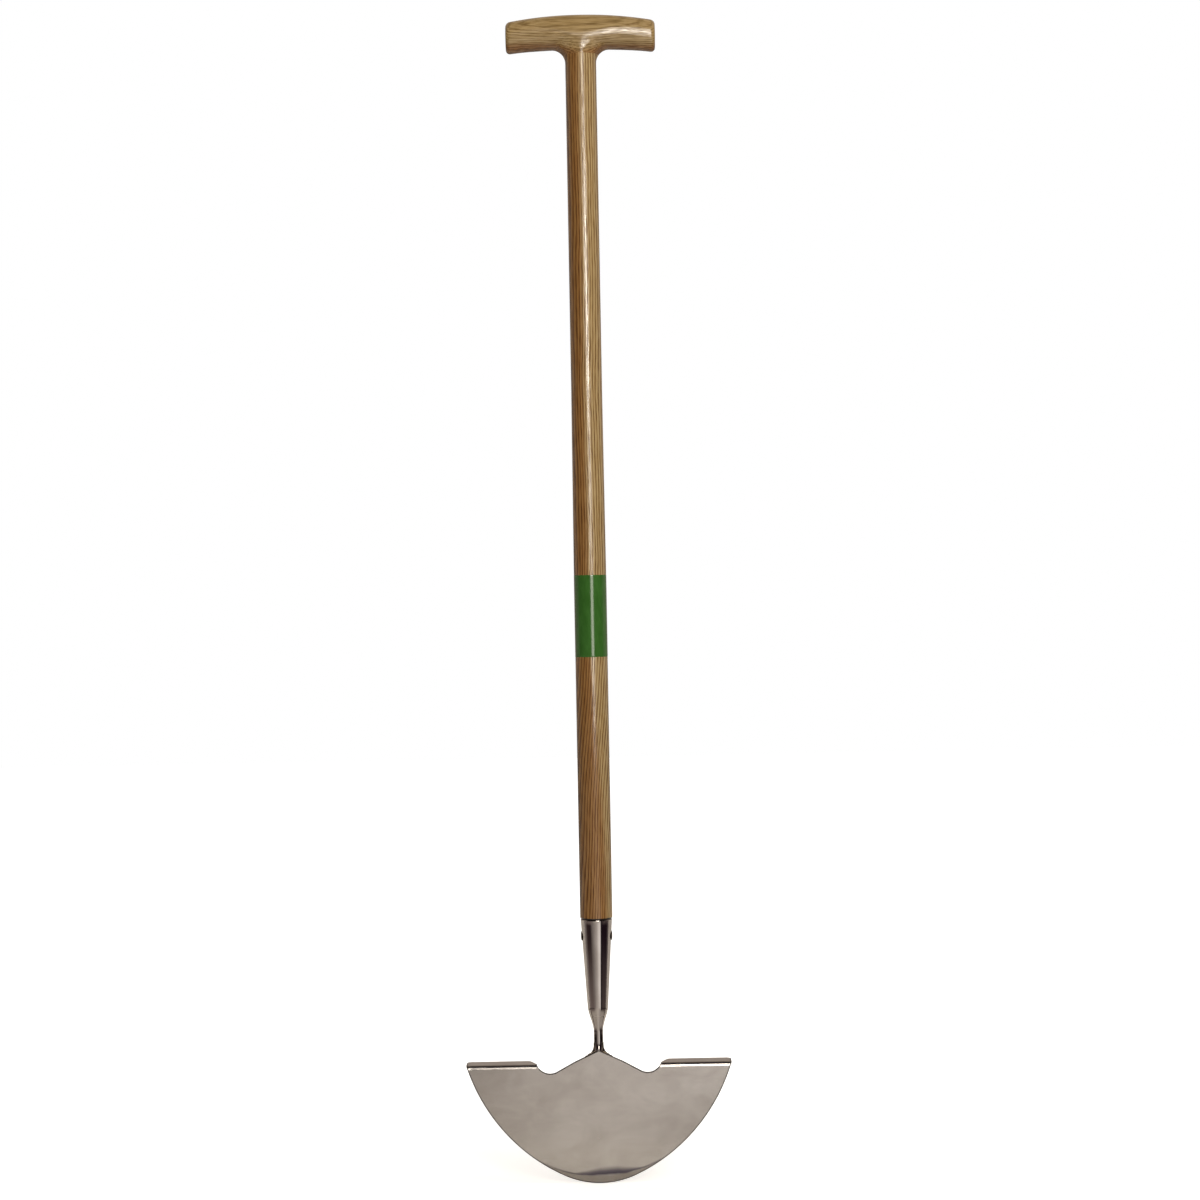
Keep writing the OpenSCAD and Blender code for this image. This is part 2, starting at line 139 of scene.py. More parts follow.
# %% Ash
def varnished_ash(name, turn, heart, edge, lean, growth, lines, heartwood, sapwood, relief=0.45):
    """ash with its grain turned from Z; in millimetres, heart is the tree's middle, edge the radius of
    the heartwood and growth the width of a year; lean is a stretch of the grain and the layers' shift
    over it; lines is how strongly the years show, relief how deep the grain is; the woods are tones"""
    material, put, place, shader = new_material(name)
    # Everything below is in millimetres, with Z along the grain.
    wood = put("Mapping", {"Vector": place, "Rotation": turn, "Scale": (1000, 1000, 1000)})
    # Growth wanders over some tens of millimetres, which bends the streaks.
    slow = put("Mapping", {"Vector": wood, "Scale": (0.02, 0.02, 0.005)})
    wander = put("TexNoise", {"Vector": slow, "Scale": 1, "Detail": 2, "Roughness": 0.5})
    radius = from_axis(put, wood, heart, (1, 1, 0))
    along = put("SeparateXYZ", {0: wood}, out="Z")
    low, high, sway = lean
    shift = put("MapRange", {0: along, 1: low, 2: high, 3: 0, 4: sway}, interpolation_type="SMOOTHSTEP")
    bent = put("Math", {0: wander, 1: 12.0, 2: radius}, operation="MULTIPLY_ADD")
    layer = put("Math", {0: bent, 1: shift}, operation="ADD")
    # A year starts with a thin dark line of pores, then comes pale wood that darkens towards its end.
    years = put("Math", {0: layer, 1: growth}, operation="DIVIDE")
    year = put("Math", {0: years}, operation="FRACT")
    ring = put("ValToRGB", {0: year},
               stops=[(0.0, 0.45), (0.15, 0.0), (0.4, 0.9), (0.7, 1.0), (1.0, 0.45)])
    # Pores are finer than a pixel, so their dashes are drawn 0.7 mm wide and 17 mm long to show at all.
    fine = put("Mapping", {"Vector": wood, "Scale": (1.5, 1.5, 0.06)})
    dash = put("TexNoise", {"Vector": fine, "Scale": 1, "Detail": 2, "Roughness": 0.6})
    dash = put("MapRange", {0: dash, 1: 0.36, 2: 0.64})
    tone = put("Mix", {0: lines, 2: dash, 3: ring}, data_type="FLOAT")
    inner = put("ValToRGB", {0: tone}, stops=list(zip((0.2, 0.5, 0.8), heartwood)))
    outer = put("ValToRGB", {0: tone}, stops=list(zip((0.2, 0.5, 0.8), sapwood)))
    border = put("Math", {0: wander, 1: 5.0, 2: radius}, operation="MULTIPLY_ADD")
    border = put("Math", {0: shift, 1: -0.45, 2: border}, operation="MULTIPLY_ADD")
    share = put("MapRange", {0: border, 1: edge - 3, 2: edge + 3}, interpolation_type="SMOOTHSTEP")
    colour = put("Mix", {0: share, 6: inner, 7: outer}, data_type="RGBA")
    # Dark end grain and painted shade for the joint's shadow line: almost black, marked by an
    # attribute.
    end = put("Attribute", out="Fac", attribute_name="cut")
    colour = put("Mix", {0: end, 6: colour, 7: "#24160D"}, data_type="RGBA")
    rough = put("MapRange", {0: tone, 3: 0.55, 4: 0.4})
    # Varnish sinks into the pores: the coat is thin there, which breaks the bright line into flecks.
    gloss = put("MapRange", {0: dash, 1: 0.15, 2: 0.65, 3: 0.2, 4: 1.0})
    grain = put("Bump", {"Strength": relief, "Distance": 0.0001, "Height": tone})
    fill(shader, {"Base Color": colour, "Roughness": rough, "Specular IOR Level": 0.2, "Normal": grain,
                  "Coat Weight": gloss, "Coat Roughness": 0.11, "Coat IOR": 1.58, "Coat Normal": grain})
    print("made", name, "with", len(material.node_tree.nodes), "nodes")
    return material


BROWN = ("#4E3010", "#785026", "#946D3D")
shaft_ash = varnished_ash("varnished_ash_shaft", (0, 0, 0), (-80, -16, 0), 91.5, (230, 560, -24),
                          2.3, 0.58, BROWN, ("#5A3F20", "#8F7247", "#B0976B"))
grip_ash = varnished_ash("varnished_ash_grip", (0, radians(90), 0), (950, 60, 0), 88.5, (-70, 70, 4),
                         2.0, 0.38, BROWN, ("#6C552F", "#8D744A", "#A58C60"), relief=0.18)

# %% [markdown]
# ## Stainless steel, polished and satin
# Both are the same metal. A buffing wheel leaves the socket and neck almost as clear as a mirror,
# with a faint haze and fine lines along the buffing stroke. The blade is only linished: fine parallel
# scratches scatter its reflection into an even warm grey with soft clouds. A metal has no colour of
# its own apart from its reflection, so the base colour is what a white studio looks like in it.

# %% Polished stainless
RIVET_Z = 218.0
polished, put, place, shader = new_material("buffed_stainless")
# Buffing lines are some hundredths of a millimetre wide: drawn at 0.5 mm, so that they show.
strokes = put("Mapping", {"Vector": place, "Scale": (2000, 2000, 60)})
lines = put("TexNoise", {"Vector": strokes, "Scale": 1, "Detail": 2})
haze = put("Mapping", {"Vector": place, "Scale": (110, 110, 60)})
cloud = put("TexNoise", {"Vector": haze, "Scale": 1, "Detail": 3})
tint = put("ValToRGB", {0: cloud}, stops=[(0.3, "#C0B8B2"), (0.7, "#CDC6C1")])
# Painted shade and painted dark reflection: heads and socket within 4.7 mm of the rivet's axis go dark.
away = from_axis(put, place, (0, 0, RIVET_Z / 1000), (0, 1, 1))
side = put("SeparateXYZ", {0: place}, out="X")
side = put("Math", {0: side}, operation="ABSOLUTE")
near = put("MapRange", {0: away, 1: 0.0051, 2: 0.0043})
out = put("MapRange", {0: side, 1: 0.0095, 2: 0.0115})
painted_rivet_shade = put("Math", {0: near, 1: out}, operation="MULTIPLY")
colour = put("Mix", {0: painted_rivet_shade, 6: tint, 7: "#5A4C48"}, data_type="RGBA")
rough = put("MapRange", {0: lines, 3: 0.06, 4: 0.11})
relief = put("Bump", {"Strength": 0.05, "Distance": 0.0001, "Height": cloud})
fill(shader, {"Base Color": colour, "Roughness": rough, "Normal": relief, "Metallic": 1})

# %% Satin stainless
GRIND_Z, GRIND_R = 124.0, 117.0
satin, put, place, shader = new_material("linished_stainless")
# Linishing scratches are about 0.05 mm apart: drawn at 0.7 mm, so that they show.
strokes = put("Mapping", {"Vector": place, "Scale": (45, 300, 1400)})
lines = put("TexNoise", {"Vector": strokes, "Scale": 1, "Detail": 3, "Roughness": 0.6})
handled = put("Mapping", {"Vector": place, "Scale": (26, 26, 34)})
cloud = put("TexNoise", {
    "Vector": handled, "Scale": 1, "Detail": 5, "Roughness": 0.6, "Distortion": 0.5})
both = put("Math", {0: lines, 1: 0.15}, operation="MULTIPLY")
both = put("Math", {0: cloud, 1: 0.85, 2: both}, operation="MULTIPLY_ADD")
tint = put("ValToRGB", {0: both}, stops=[(0.28, "#B8B2AD"), (0.7, "#D3CFCB")])
# Grinding heats the sheet: a blue-brown stain lies along the start of the bevel, an arc of
# 117 mm radius about a point 124 mm up. It is strongest near the middle and thin towards both sides.
away = from_axis(put, place, (0, 0, GRIND_Z / 1000), (1, 0, 1))
ragged = put("Math", {0: cloud, 1: 0.004, 2: away}, operation="MULTIPLY_ADD")
axes = put("SeparateXYZ", {0: place}).node.outputs
off = put("Math", {0: axes["X"], 1: 0.007}, operation="SUBTRACT")
off = put("Math", {0: off}, operation="ABSOLUTE")
depth = put("MapRange", {0: off, 1: 0.008, 2: 0.03, 3: 0.0086, 4: 0.002})
inward = put("Math", {0: 0.1197, 1: ragged}, operation="SUBTRACT")
inward = put("Math", {0: inward, 1: depth}, operation="DIVIDE")
stain = put("ValToRGB", {0: inward}, stops=[(0.0, 0.0), (0.25, 1.0), (0.5, 0.85), (1.0, 0.0)])
reach = put("MapRange", {0: off, 1: 0.014, 2: 0.095, 3: 1.0, 4: 0.0})
stain = put("Math", {0: stain, 1: reach}, operation="MULTIPLY")
# Painted shade on the ground bevel: outside the grinding line and low down it is coloured darker.
painted_bevel_shade = put("MapRange", {0: away, 1: 0.1165, 2: 0.118, 3: 0.0, 4: 0.38})
low = put("MapRange", {0: axes["Z"], 1: 0.03, 2: 0.02})
painted_bevel_shade = put("Math", {0: painted_bevel_shade, 1: low}, operation="MULTIPLY")
# Stain and painted bevel shade lie on the front only.
front = put("MapRange", {0: axes["Y"], 1: -0.0021, 2: -0.0024})
stain = put("Math", {0: stain, 1: front}, operation="MULTIPLY")
painted_bevel_shade = put("Math", {0: painted_bevel_shade, 1: front}, operation="MULTIPLY")
colour = put("Mix", {0: painted_bevel_shade, 6: tint, 7: "#5C5245"}, data_type="RGBA")
colour = put("Mix", {0: stain, 6: colour, 7: "#56505E"}, data_type="RGBA")
# The sheared edge is rougher than the faces and coloured darker; the mesh marks it with an attribute.
cut = put("Attribute", out="Fac", attribute_name="cut")
colour = put("Mix", {0: cut, 6: colour, 7: "#2F2724"}, data_type="RGBA")
rough = put("MapRange", {0: both, 3: 0.3, 4: 0.22})
rough = put("Math", {0: cut, 1: 0.3, 2: rough}, operation="MULTIPLY_ADD")
relief = put("Bump", {"Strength": 0.06, "Distance": 0.0001, "Height": lines})
fill(shader, {"Base Color": colour, "Roughness": rough, "Normal": relief, "Metallic": 1})
print("steels:", polished.name, satin.name)

# %% [markdown]
# ## Film, weld metal and the pin
# The band round the shaft is a printed plastic film, glossy and dark green; its ink lies a little
# unevenly. Weld metal cools into a rough grey that heat has tinted straw and blue. The pin is ash
# too, but its end is sanded across the fibres, which drinks more varnish and turns darker.

# %% Film, weld and pin materials
film, put, place, shader = new_material("printed_film_green")
ink = put("Mapping", {"Vector": place, "Scale": (260, 260, 90)})
cloud = put("TexNoise", {"Vector": ink, "Scale": 1, "Detail": 3})
tint = put("ValToRGB", {0: cloud}, stops=[(0.3, "#315C22"), (0.7, "#3A672B")])
rough = put("MapRange", {0: cloud, 3: 0.11, 4: 0.16})
# The film follows the wood's streaks under it, a few hundredths of a millimetre deep.
grain = put("Mapping", {"Vector": place, "Scale": (420, 420, 9)})
under = put("TexNoise", {"Vector": grain, "Scale": 1, "Detail": 1})
relief = put("Bump", {"Strength": 0.12, "Distance": 0.00008, "Height": under})
fill(shader, {"Base Color": tint, "Roughness": rough, "Normal": relief})

weld, put, place, shader = new_material("heat_tinted_weld")
near = put("Mapping", {"Vector": place, "Scale": (330, 330, 330)})
cloud = put("TexNoise", {"Vector": near, "Scale": 1, "Detail": 3})
tint = put("ValToRGB", {0: cloud},
           stops=[(0.25, "#6F6A70"), (0.45, "#9A9189"), (0.6, "#A8997F"), (0.78, "#8B7F78")])
rough = put("MapRange", {0: cloud, 3: 0.28, 4: 0.5})
fill(shader, {"Base Color": tint, "Roughness": rough, "Metallic": 1})

pin_ash = varnished_ash("varnished_ash_pin", (radians(90), 0, 0), (30, 20, 0), 0, (0, 1, 0),
                        1.5, 0.45, BROWN, ("#4A2F17", "#6E4C29", "#8F6B40"))

# %% [markdown]
# ## Making a piece
# A mesh is a list of points and a list of faces. This helper takes both in millimetres, merges the
# points that lie on each other where two patches meet, turns all faces outwards, shades smoothly
# except over real corners, and hands the piece to the frame in place of its CAD solid.

# %% The piece maker
SIDES = 128


def set_in_place(name, mesh, node):
    """an object for a finished mesh, riding in place of its CAD solid"""
    piece = bpy.data.objects.new(name, mesh)
    scene.collection.objects.link(piece)
    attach(piece, "root")
    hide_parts(node)
    print(name, "faces:", len(mesh.polygons))


def make_piece(name, points, faces, material, node, corner=35, cut=None):
    """a piece from points and faces; angles over corner stay sharp, cut marks points of a cut face"""
    mesh = bpy.data.meshes.new(name)
    mesh.from_pydata([Vector(p) * 0.001 for p in points], [], [tuple(f) for f in faces])
    if cut is not None:
        mesh.attributes.new("cut", "FLOAT", "POINT").data.foreach_set("value", cut)
    shell = bmesh.new()
    shell.from_mesh(mesh)
    bmesh.ops.remove_doubles(shell, verts=shell.verts, dist=2e-6)
    bmesh.ops.dissolve_degenerate(shell, edges=shell.edges, dist=1e-7)
    bmesh.ops.recalc_face_normals(shell, faces=shell.faces)
    print(name, "open edges:", sum(1 for e in shell.edges if len(e.link_faces) != 2))
    shell.to_mesh(mesh)
    shell.free()
    mesh.shade_smooth()
    mesh.set_sharp_from_angle(angle=radians(corner))
    mesh.materials.append(material)
    set_in_place(name, mesh, node)


def arc(centre, radius, start, end, steps):
    """points of an arc, from one angle to another, in degrees"""
    a = np.radians(np.linspace(start, end, steps + 1))
    return np.asarray(centre) + radius * np.stack([np.cos(a), np.sin(a)], 1)


def spread(points, count):
    """the same line with a given number of points, evenly spaced along it"""
    points = np.asarray(points, float)
    run = np.concatenate([[0], np.cumsum(np.linalg.norm(np.diff(points, axis=0), axis=1))])
    even = np.linspace(0, run[-1], count)
    return np.stack([np.interp(even, run, points[:, k]) for k in range(points.shape[1])], 1)


def grid_faces(rows, columns, first=0):
    """four-sided faces of a grid whose columns close into a ring"""
    return [
        (first + r * columns + c, first + r * columns + (c + 1) % columns,
         first + (r + 1) * columns + (c + 1) % columns, first + (r + 1) * columns + c)
        for r in range(rows - 1) for c in range(columns)
    ]


def fan(middle, first, count=SIDES):
    """triangles from a middle point to a ring of points"""
    return [(middle, first + c, first + (c + 1) % count) for c in range(count)]


def turned(profile, sides=SIDES):
    """points and faces of a profile of radius and height, turned about the shaft's axis"""
    a = np.linspace(0, 2 * np.pi, sides, endpoint=False)
    points = [(r * np.cos(t), r * np.sin(t), z) for r, z in profile for t in a]
    return points, grid_faces(len(profile), sides)


def inside(places, loop):
    """which places lie inside a closed loop"""
    a, b = loop, np.roll(loop, -1, 0)
    x, y = places[:, :1], places[:, 1:]
    crosses = (a[:, 1] > y) != (b[:, 1] > y)
    run = np.where(b[:, 1] == a[:, 1], 1e-12, b[:, 1] - a[:, 1])
    return (crosses & (x < (b[:, 0] - a[:, 0]) * (y - a[:, 1]) / run + a[:, 0])).sum(1) % 2 == 1


def filled(loop, places, within):
    """flat points and triangles that meet a closed loop exactly and lie within it, or all outside it"""
    edges = [(c, (c + 1) % len(loop)) for c in range(len(loop))]
    made = delaunay_2d_cdt([Vector(p) for p in np.vstack([loop, places])], edges, [], 0, 1e-6)
    flat, triangles = np.array([tuple(v) for v in made[0]]), np.array(made[2])
    return flat, triangles[inside(flat[triangles].mean(1), loop) == within]

# %% [markdown]
# ## Shaft and grip
# Grip and stem meet in a carved fillet. A ball rolled round the corner gives its shape: at each angle
# round the stem, the ball touches the stem at one point and the grip at another, and the fillet is the
# arc between the two. Its radius is 12 mm at the sides, where a hand grips round it, and grows towards
# the front and back, where the carver lets stem and grip run into each other. The same line, cut at the
# glued joint, makes the flared top of the shaft and the root of the grip, so the two always meet.

# %% The rolling-ball fillet
GRIP_R, STEM_R, ARCH_R, GRIP_END = 15.0, 13.65, 348.0, 65.8
AXIS_Z = 1030.4 - GRIP_R
JOINT_Z = AXIS_Z - 20.8
JOINT_EASE = 0.12
RISE_END, RISE_DROP, RISE_RUN = 2.4, 7.9, 24
SLIM_DEPTH, SLIM_UNDER = 2.6, 1.5
BALL_SIDE, BALL_MORE = 12, 28
LINE_LOW = 960
angles = np.linspace(0, 2 * np.pi, SIDES, endpoint=False)


def ease(x, start, end):
    """a smooth step from 0 to 1 between two distances from the middle"""
    t = np.clip((np.abs(x) - start) / (end - start), 0, 1)
    return t * t * (3 - 2 * t)


def rise(x):
    """height of the bar's widest line over its axis: low at the stem, high towards the ends"""
    return RISE_END - RISE_DROP * np.exp(-(x / RISE_RUN) ** 2)


def on_grip(x, around):
    """point of the arched bar; around is the angle from its underside. Towards the ends the bar slims
    in depth and underneath, as a carver leaves it"""
    depth = GRIP_R - SLIM_DEPTH * (np.hypot(x, 12) - 12) / 54.9
    up = rise(x) * (1 - np.abs(np.cos(around))) - GRIP_R * np.cos(around)
    slim = SLIM_UNDER * ease(x, 16, 80) * (1 + np.cos(around)) ** 2 / 2
    z = AXIS_Z - ARCH_R + np.sqrt((ARCH_R + up) ** 2 - x ** 2) + slim
    return np.stack([x, depth * np.sin(around), z], -1)


def grip_normal(x, around):
    """outward direction of the bar's section at a place along it, across and up"""
    across = (GRIP_R + rise(x)) * np.sin(around)
    up = -GRIP_R * np.cos(around)
    return np.stack([across, up]) / np.hypot(across, up)


def ball_radius(angle):
    """radius of the rolling ball at an angle round the stem"""
    return BALL_SIDE + BALL_MORE * np.sin(angle) ** 4


def touch(angle):
    """where the ball touches the grip, as a place along it and an angle round it"""
    ball = ball_radius(angle)
    x = (STEM_R + ball) * np.cos(angle)
    tries = np.radians(np.linspace(0, 90, 400))
    offset = GRIP_R * np.sin(tries) + ball * grip_normal(x, tries)[0]
    around = np.interp((STEM_R + ball) * abs(np.sin(angle)), offset, tries)
    return x, np.sign(np.sin(angle)) * around


def fillet_line(angle):
    """points from low on the stem, up it, and round the fillet to the grip"""
    out = np.array([np.cos(angle), np.sin(angle), 0])
    x, around = touch(angle)
    to_grip = -np.array([0, *grip_normal(x, around)])
    centre = on_grip(x, around) - ball_radius(angle) * to_grip
    opening = np.arccos(-out @ to_grip)
    t = np.linspace(0, opening, 40)[:, None]
    swing = np.sin(opening - t) * -out + np.sin(t) * to_grip
    ball = centre + ball_radius(angle) * swing / np.sin(opening)
    stem = STEM_R * out + np.linspace(LINE_LOW, centre[2], 30)[:-1, None] * np.array([0, 0, 1])
    return np.concatenate([stem, ball])


lines = [fillet_line(a) for a in angles]
print("the fillet runs up to", round(max(l[-1][2] for l in lines), 1), "mm")

# %% Shaft
LOW_R, RIM_Z, SPIGOT_Z = 14.25, 233.0, 163.5
TAPER_Z, TAPER_RUN = 545, 155


def at_joint(line):
    """the point of a fillet line at the height of the glued joint"""
    return np.array([np.interp(JOINT_Z, line[:, 2], line[:, k]) for k in range(3)])


def below_joint(line):
    """the part of a fillet line under the glued joint, with its last edge eased"""
    part = spread(np.vstack([line[line[:, 2] < JOINT_Z], at_joint(line)]), 26)
    part[-1, :2] *= 1 - JOINT_EASE / np.linalg.norm(part[-1, :2])
    return part


profile = np.vstack([
    [(0.01, SPIGOT_Z), (7.0, SPIGOT_Z), (8.1, SPIGOT_Z + 1), (12.3, 233.3), (13.0, 233.3)],
    arc((LOW_R - 1.2, 234.5), 1.2, -80, 0, 6),
    [(LOW_R, z) for z in np.linspace(236, TAPER_Z, 30)],
    [(LOW_R + (STEM_R - LOW_R) * t, TAPER_Z + TAPER_RUN * t) for t in np.linspace(0.05, 1, 14)],
    [(STEM_R, z) for z in np.linspace(710, LINE_LOW - 1, 20)],
])
points, _ = turned(profile)
top = np.stack([below_joint(l) for l in lines], 1)
first = len(points) - SIDES
points = points[:first] + list(top.reshape(-1, 3))
cap = len(points)
points.append((0, 0, JOINT_Z))
faces = grid_faces(len(profile) - 1 + len(top), SIDES)
faces += fan(cap, cap - SIDES)
faces.append(tuple(range(SIDES)))
# The shaft's end below 234.4 mm: dark end grain with painted joint shade.
end_grain_and_joint_shade = [float(p[2] < 234.4) for p in points]
make_piece("ash_shaft", points, faces, shaft_ash, "shaft", cut=end_grain_and_joint_shade)

# %% [markdown]
# The bar of the grip is a slice of a ring, so a point on it needs two numbers: the place along it and
# the angle round it. Laid out flat, that is a rectangle with one hole, where the fillet takes over. A
# Delaunay triangulation fills the rectangle and meets the edge of the hole exactly, and each flat
# point is then lifted onto the bar. The ends are rings that shrink along a 4 mm quarter circle.

# %% Grip
END_R = 4.0
rings = np.radians(np.linspace(-180, 180, 57))
stations = np.linspace(END_R - GRIP_END, GRIP_END - END_R, 59)
hole = np.array([touch(a) for a in angles]) * (1, GRIP_R)
field = np.array([(x, a * GRIP_R) for x in stations for a in rings])
gap = np.min(np.linalg.norm(field[:, None] - hole[None], axis=2), axis=1)

flat, triangles = filled(hole, field[(gap > 0.9) & ~inside(field, hole)], False)
points, faces = list(on_grip(flat[:, 0], flat[:, 1] / GRIP_R)), list(triangles)

root = np.stack([spread(np.vstack([at_joint(l), l[l[:, 2] > JOINT_Z]]), 30) for l in lines], 1)
root[0, :, :2] *= 1 - JOINT_EASE / np.linalg.norm(root[0, :, :2], axis=1, keepdims=True)
faces += grid_faces(len(root), SIDES, len(points))
points += list(root.reshape(-1, 3))
faces += fan(len(points), len(points) - len(root) * SIDES)
points.append((0, 0, JOINT_Z))

middle = on_grip(np.array(GRIP_END), np.array(0.0))[2] + GRIP_R
count = len(rings) - 1
shrink = [(GRIP_END - END_R + END_R * np.sin(b), 1 - END_R * (1 - np.cos(b)) / GRIP_R)
          for b in np.linspace(0, np.pi / 2, 8)]
shrink += [(GRIP_END, size) for size in (0.66, 0.5, 0.25)]
for side in (-1, 1):
    start = len(points)
    for x, size in shrink:
        section = on_grip(np.full(count, side * (x - 1e-9)), rings[:-1])
        section[:, 1] *= size
        section[:, 2] = middle + size * (section[:, 2] - middle) if size < 1 else section[:, 2]
        points += list(section)
    faces += grid_faces(len(shrink), count, start)
    faces += fan(len(points), len(points) - count, count)
    points.append((side * GRIP_END, 0, middle))
make_piece("ash_grip", points, faces, grip_ash, "t_handle")

# %% Pin
# The pin's end shows on the back of the grip as a small round, sanded almost flush.
PIN_SIDES = 40
dome = np.vstack([[(0.01, 0), (2.0, 0), (2.0, 21.2)], arc((1.55, 21.25), 0.45, 0, 70, 4),
                  [(1.0, 21.75), (0.01, 21.8)]])
points, faces = turned(dome, PIN_SIDES)
faces += [tuple(range(PIN_SIDES)), tuple(range(len(points) - PIN_SIDES, len(points)))]
points = [(x, z - 7.05, y + JOINT_Z + 17) for x, y, z in points]
make_piece("ash_pin", points, faces, pin_ash, "handle_pin")

# %% [markdown]
# ## Band of film
# A strip of film is wrapped once round the shaft and overlaps itself at the back by a few millimetres.
# The section is drawn as that one strip: it climbs over its own start, so the seam is a real step.

# %% Band
BAND = (464.0, 536.0)
wrap = np.radians(np.linspace(90, 90 + 360 + 22, 150))
lift = np.clip((np.degrees(wrap) - 90 - 345) / 12, 0, 1) * 0.1
outer = LOW_R + 0.09 + lift
inner = LOW_R + 0.005 + lift
heights = [BAND[0], BAND[0] + 0.12, *np.linspace(BAND[0] + 1, BAND[1] - 1, 12), BAND[1] - 0.12, BAND[1]]
points = []
for z in heights:
    tuck = 0.05 if z in BAND else 0.0
    loop = [((r - tuck) * np.cos(a), (r - tuck) * np.sin(a), z) for r, a in zip(outer, wrap)]
    loop += [(r * np.cos(a), r * np.sin(a), z) for r, a in zip(inner[::-1], wrap[::-1])]
    points += loop
count = 2 * len(wrap)
faces = grid_faces(len(heights), count)
for first in (0, (len(heights) - 1) * count):
    faces += [(first + c, first + c + 1, first + count - 2 - c, first + count - 1 - c)
              for c in range(len(wrap) - 1)]
make_piece("film_band", points, faces, film, "label_band")

# %% [markdown]
# ## Socket, neck and rivet
# The socket is a cone of sheet, drawn in at the bottom to meet the neck. Its profile is turned about
# the shaft's axis. The swell is a curve that starts level at the bar and leaves in line with the cone,
# as metal does when it is spun down. The rim is eased so that it catches a thin line of light.

# %% Socket
NECK_R, CONE = 4.15, tan(radians(3.58))
SWELL = (133.6, 155.2)
RIM_R, WALL, BORE_R = LOW_R - 0.35, 1.35, 5.2
SWELL_R = RIM_R - (RIM_Z - SWELL[1]) * CONE
WELD_Z = 147.5


def swell(z):
    """radius between the bar and the cone: level at the bottom, in line with the cone at the top"""
    length = SWELL[1] - SWELL[0]
    t = (z - SWELL[0]) / length
    return NECK_R + (SWELL_R - NECK_R) * t * t * (3 - 2 * t) - CONE * length * t * t * (1 - t)


profile = np.vstack([
    [(BORE_R, WELD_Z + 0.02), (swell(WELD_Z) - 0.06, WELD_Z + 0.02)],
    [(swell(z), z) for z in np.linspace(WELD_Z + 0.3, SWELL[1], 26)],
    [(RIM_R - (RIM_Z - z) * CONE, z) for z in np.linspace(SWELL[1] + 1, RIM_Z - 1.1, 20)],
    arc((RIM_R - 0.95, RIM_Z - 0.95), 0.95, 4, 90, 8),
    [(RIM_R - 1.3, RIM_Z), (RIM_R - WALL, RIM_Z - 0.3), (SWELL_R + 4 * CONE - WALL, 161.5)],
    [(BORE_R, 156.5)],
])
points, faces = turned(profile)
last = len(points) - SIDES
faces += [(last + c, last + (c + 1) % SIDES, (c + 1) % SIDES, c) for c in range(SIDES)]
make_piece("buffed_socket", points, faces, polished, "socket")

# %% [markdown]
# The neck is one forging: a round bar that flattens into a spear-shaped foot on the back of the
# blade. Every level of it is one closed section, so it is lofted from sections. Each section is a
# circle for the bar and a flat, soft-edged plate for the foot, joined by a rounded maximum of the two
# radii. Where the blade stands in front, the section is cut back to the sheet's back face.

# %% Neck
APEX_Z, BLADE_FRONT, BLADE_BACK = 117.2, -4.0, -2.0
FOOT_TOP, FOOT_TIP, FOOT_HALF = 112.5, 66.5, 10.9
FLARE_Z, FLARE_R = 111.2, 11.0
PLATE_SOFT, BLEND, LIP = 3.2, 9, 0.8
foot_arc = (FOOT_HALF ** 2 + 46 ** 2) / (2 * FOOT_HALF)
GABLE = tan(radians(24.6))


def foot_half(z):
    """half width of the foot: a flare out of the bar, then one long arc to the tip"""
    if z > FLARE_Z + 1:
        rise = min((z - FLARE_Z) / FLARE_R, 1.0)
        return NECK_R + FLARE_R - FLARE_R * sqrt(1 - (1 - rise) ** 2)
    if z > FOOT_TOP:
        return FOOT_HALF - 0.4 * (z - FOOT_TOP)
    return max(FOOT_HALF - foot_arc + sqrt(foot_arc ** 2 - (FOOT_TOP - z) ** 2), 0.02)


def neck_section(z):
    """one level of the neck: round bar and flat foot, blended"""
    across, back = np.cos(angles), np.sin(angles)
    bar = swell(z) if z > SWELL[0] else NECK_R
    if z <= APEX_Z:
        bar = max(NECK_R - 2.45 * (APEX_Z - z) / 35.4, 0.05)
    half = foot_half(z)
    plate = np.abs(across / half) ** PLATE_SOFT + np.abs(back / 2.0) ** PLATE_SOFT
    plate = plate ** (-1 / PLATE_SOFT) if z < 124 else np.zeros(SIDES)
    if z < FOOT_TOP:
        bar = min(bar, max(half, 0.05)) if half < 4 else bar
    lip = LIP * np.clip((127 - z) / 8.5, 0, 1) ** 2 * np.clip(-back, 0, 1) ** 6
    r = (bar ** BLEND + plate ** BLEND) ** (1 / BLEND) + lip
    x, y = r * across, r * back
    behind = z < APEX_Z - np.abs(x) * GABLE - 0.05
    return np.stack([x, np.where(behind, np.maximum(y, BLADE_BACK + 0.02), y), np.full(SIDES, z)], 1)


levels = np.concatenate([np.linspace(*run) for run in (
    (FOOT_TIP, 70, 8), (71, 110, 40), (110.4, 126, 52), (127, SWELL[0], 10),
    (SWELL[0] + 0.6, WELD_Z - 0.35, 18))])
levels = np.append(levels, WELD_Z - 0.02)
sections = [neck_section(z) for z in levels]
sections[-1][:, :2] *= 1 - 0.06 / np.linalg.norm(sections[-1][:, :2], axis=1, keepdims=True)
points = np.vstack(sections)
faces = grid_faces(len(levels), SIDES)
faces += [tuple(range(SIDES)), tuple(range(len(points) - SIDES, len(points)))]
make_piece("buffed_neck", points, faces, polished, "neck", corner=50)

# %% [markdown]
# One rivet goes through socket and wood, with a formed head on each side. The head is drawn once, and
# a Geometry Nodes tree sets a copy on every point of a two-point mesh, turned outwards. With more
# points it would rivet a whole row; the diameter and the rise stay open as named inputs.

# %% Rivet heads
SEAT = RIM_R - (RIM_Z - RIVET_Z) * CONE
HEAD = {"Head Diameter": 0.0086, "Head Rise": 0.0009}


